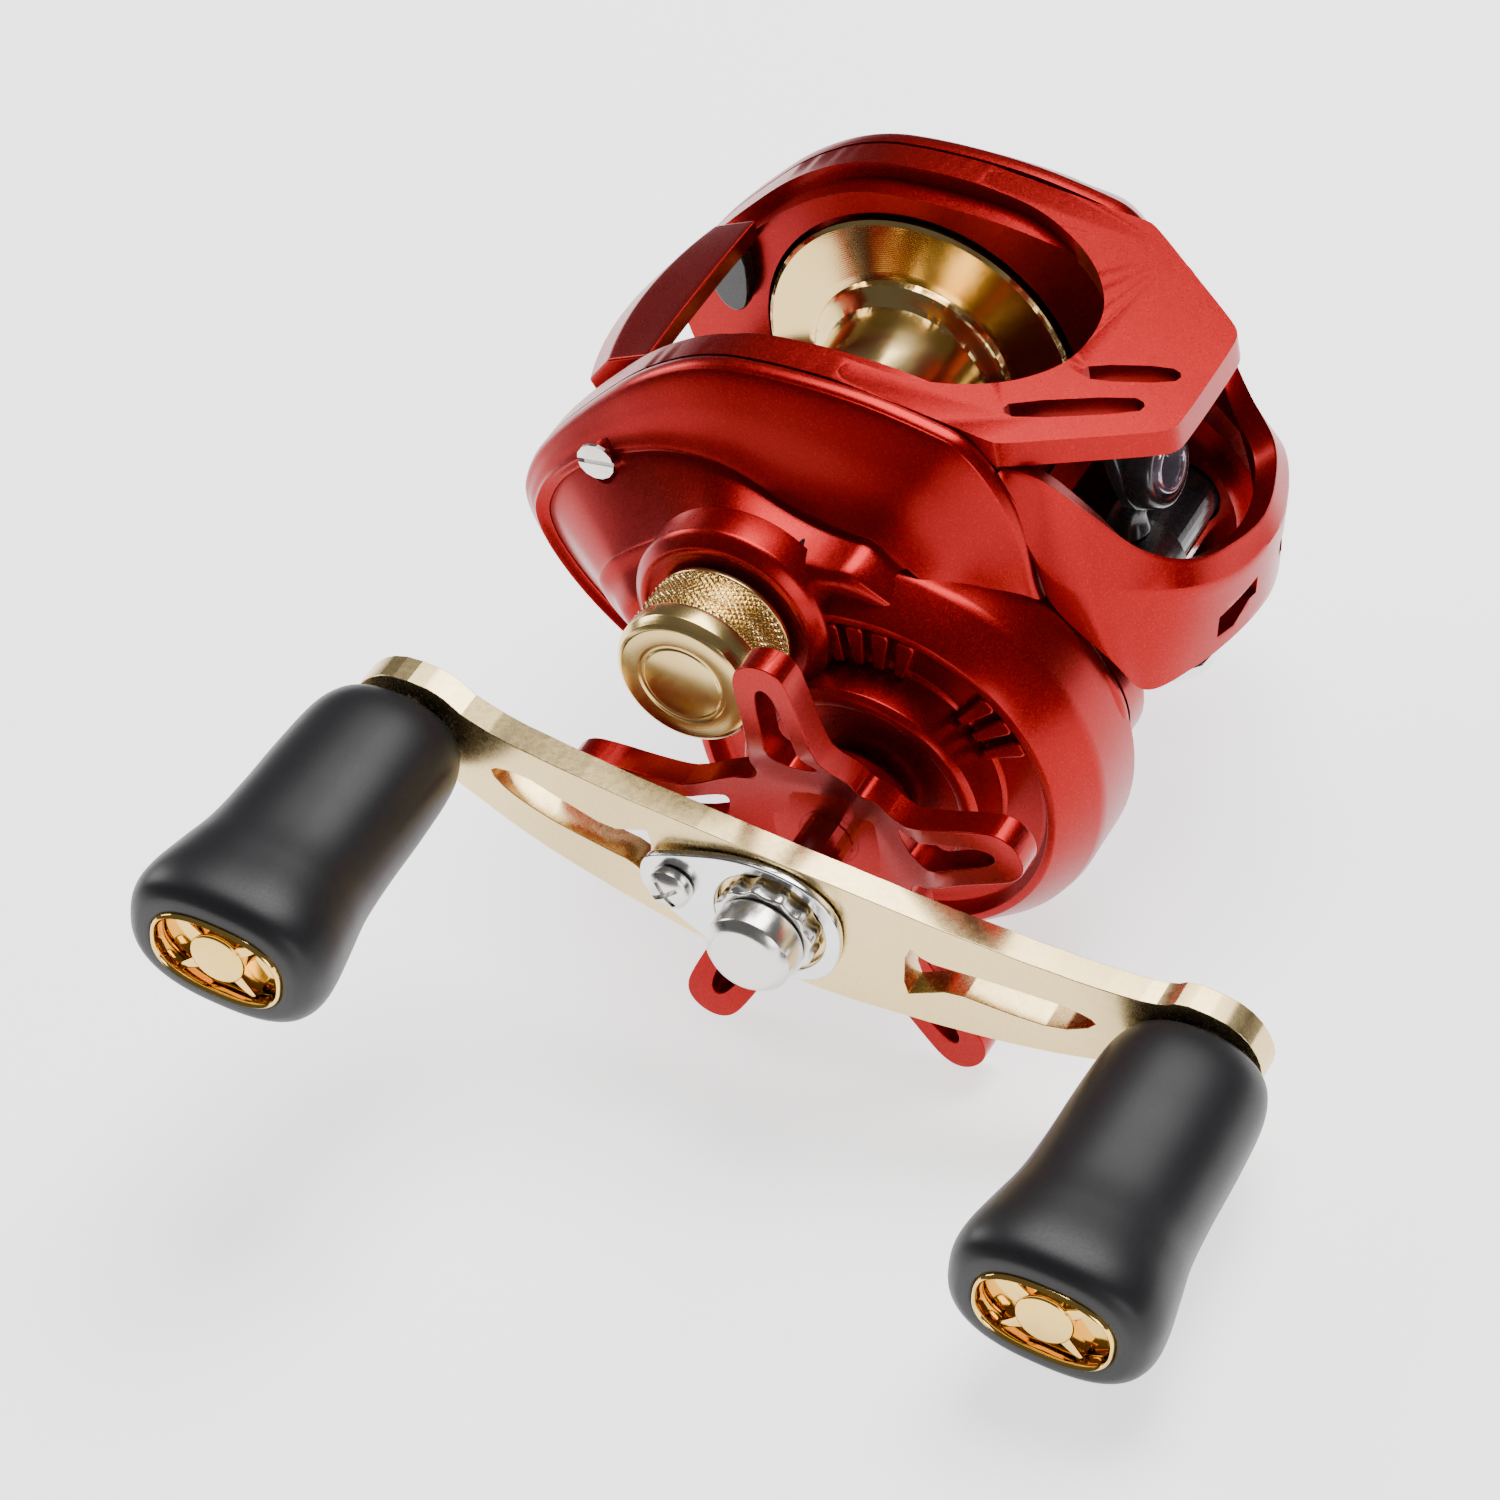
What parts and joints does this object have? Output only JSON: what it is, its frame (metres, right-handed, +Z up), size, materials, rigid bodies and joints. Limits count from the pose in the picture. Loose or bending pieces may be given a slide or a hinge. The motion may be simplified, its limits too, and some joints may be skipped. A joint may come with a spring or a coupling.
{
  "type": "baitcasting reel",
  "caption": "Low-profile baitcasting fishing reel with a double-knob crank handle, star drag, cast control and level wind.",
  "frame": {"origin": "centre of the reel foot's underside, on the spool's mid plane", "axes": "+Z up from the rod, +Y towards the rod tip (line side), +X towards the handle side along the spool's axis"},
  "size_m": [0.1072, 0.0964, 0.0575],
  "materials": {
    "red_metal": "satin metallic red",
    "gold_metal": "polished champagne gold anodised",
    "polished_steel": "polished",
    "gear_brass": "cut teeth, satin",
    "black_plastic": "gloss black",
    "dial_plastic": "satin black",
    "grip_rubber": "soft-touch black",
    "chrome_trim": "bright",
    "carbon_washer": "woven carbon, matt"
  },
  "bodies": {
    "frame": {"frame": "red_metal", "top_hood": "red_metal", "front_cowl": "red_metal", "reel_foot": "polished_steel", "handle_side_cover": "red_metal", "palm_side_cover": "red_metal", "gear_plate": "polished_steel", "worm_cover": "black_plastic", "guide_rod": "polished_steel", "palm_bearing": "polished_steel", "cast_bearing": "polished_steel", "shaft_bearing": "polished_steel", "reverse_bearing": "polished_steel", "brake_magnet_ring": "black_plastic", "yoke_post_1": "polished_steel", "yoke_post_2": "polished_steel", "yoke_spring_1": "polished_steel", "yoke_spring_2": "polished_steel", "idler_stud": "polished_steel", "cover_screw_1": "polished_steel", "cover_screw_2": "polished_steel", "palm_screw_1": "polished_steel", "palm_screw_2": "polished_steel", "palm_screw_3": "polished_steel"},
    "drive": {"drive_shaft": "polished_steel", "drive_gear": "gear_brass", "drag_washer": "carbon_washer", "pressure_plate": "polished_steel", "level_wind_gear": "black_plastic", "reverse_sleeve": "polished_steel", "drag_spring_washers": "polished_steel", "handle_arm": "gold_metal", "handle_retainer": "chrome_trim", "retainer_screw": "polished_steel", "handle_nut": "chrome_trim", "nut_cap": "chrome_trim", "knob_rear_post": "polished_steel", "knob_front_post": "polished_steel"},
    "star": {"star_drag": "red_metal"},
    "knob_rear": {"knob_rear": "grip_rubber", "knob_rear_cap": "gold_metal"},
    "knob_front": {"knob_front": "grip_rubber", "knob_front_cap": "gold_metal"},
    "spool": {"spool": "gold_metal", "spool_shaft": "polished_steel", "brake_rotor": "polished_steel"},
    "yoke": {"clutch_yoke": "black_plastic"},
    "pinion": {"pinion": "gear_brass"},
    "clutch_cam": {"clutch_cam": "gear_brass"},
    "thumb_bar": {"thumb_bar": "red_metal"},
    "worm": {"worm_shaft": "polished_steel", "worm_gear": "black_plastic"},
    "idler": {"idler_gear": "black_plastic"},
    "line_guide": {"line_guide": "black_plastic", "line_guide_ring": "chrome_trim", "pawl": "gear_brass"},
    "cast_control": {"cast_control_knob": "gold_metal", "tension_spacer": "gear_brass"},
    "brake_dial": {"brake_dial": "dial_plastic"}
  },
  "joints": [
    {"name": "handle_spin", "type": "hinge", "parent": "frame", "child": "drive", "pos_m": [0.03, 0.0075, 0.0048], "axis": [1, 0, 0], "continuous": true},
    {"name": "star_turn", "type": "hinge", "parent": "drive", "child": "star", "pos_m": [0.036, 0.0075, 0.0048], "axis": [1, 0, 0], "range_deg": [-180, 180]},
    {"name": "knob_rear_spin", "type": "hinge", "parent": "drive", "child": "knob_rear", "pos_m": [0.06, -0.03114, 0.01515], "axis": [1, 0, 0], "continuous": true},
    {"name": "knob_front_spin", "type": "hinge", "parent": "drive", "child": "knob_front", "pos_m": [0.06, 0.04614, -0.00555], "axis": [1, 0, 0], "continuous": true},
    {"name": "spool_spin", "type": "hinge", "parent": "frame", "child": "spool", "pos_m": [0, -0.004, 0.021], "axis": [1, 0, 0], "continuous": true},
    {"name": "yoke_slide", "type": "slide", "parent": "frame", "child": "yoke", "axis": [1, 0, 0], "range_m": [0, 0.0014]},
    {"name": "pinion_spin", "type": "hinge", "parent": "yoke", "child": "pinion", "pos_m": [0.023, -0.004, 0.021], "axis": [1, 0, 0], "continuous": true},
    {"name": "cam_turn", "type": "hinge", "parent": "frame", "child": "clutch_cam", "pos_m": [0.019, -0.004, 0.021], "axis": [1, 0, 0], "range_deg": [0, 18]},
    {"name": "thumb_press", "type": "slide", "parent": "frame", "child": "thumb_bar", "axis": [0, 0, -1], "range_m": [0, 0.004]},
    {"name": "worm_spin", "type": "hinge", "parent": "frame", "child": "worm", "pos_m": [0, 0.02159, 0.00993], "axis": [1, 0, 0], "continuous": true},
    {"name": "idler_spin", "type": "hinge", "parent": "frame", "child": "idler", "pos_m": [0.0194, 0.01596, 0.00788], "axis": [1, 0, 0], "continuous": true},
    {"name": "line_guide_slide", "type": "slide", "parent": "frame", "child": "line_guide", "axis": [1, 0, 0], "range_m": [-0.0079, 0.0079]},
    {"name": "cast_control_turn", "type": "hinge", "parent": "frame", "child": "cast_control", "pos_m": [0.034, -0.004, 0.021], "axis": [1, 0, 0], "range_deg": [-180, 180]},
    {"name": "brake_dial_turn", "type": "hinge", "parent": "frame", "child": "brake_dial", "pos_m": [-0.027, -0.004, 0.021], "axis": [1, 0, 0], "range_deg": [0, 270]}
  ],
  "couplings": [
    {"joint": "spool_spin", "follows": "handle_spin", "ratio": -7.2},
    {"joint": "pinion_spin", "follows": "handle_spin", "ratio": -7.2},
    {"joint": "idler_spin", "follows": "handle_spin", "ratio": -2},
    {"joint": "worm_spin", "follows": "handle_spin", "ratio": 2},
    {"joint": "yoke_slide", "follows": "thumb_press", "ratio": 0.35},
    {"joint": "cam_turn", "follows": "thumb_press", "rad_per_m": 78.5}
  ]
}
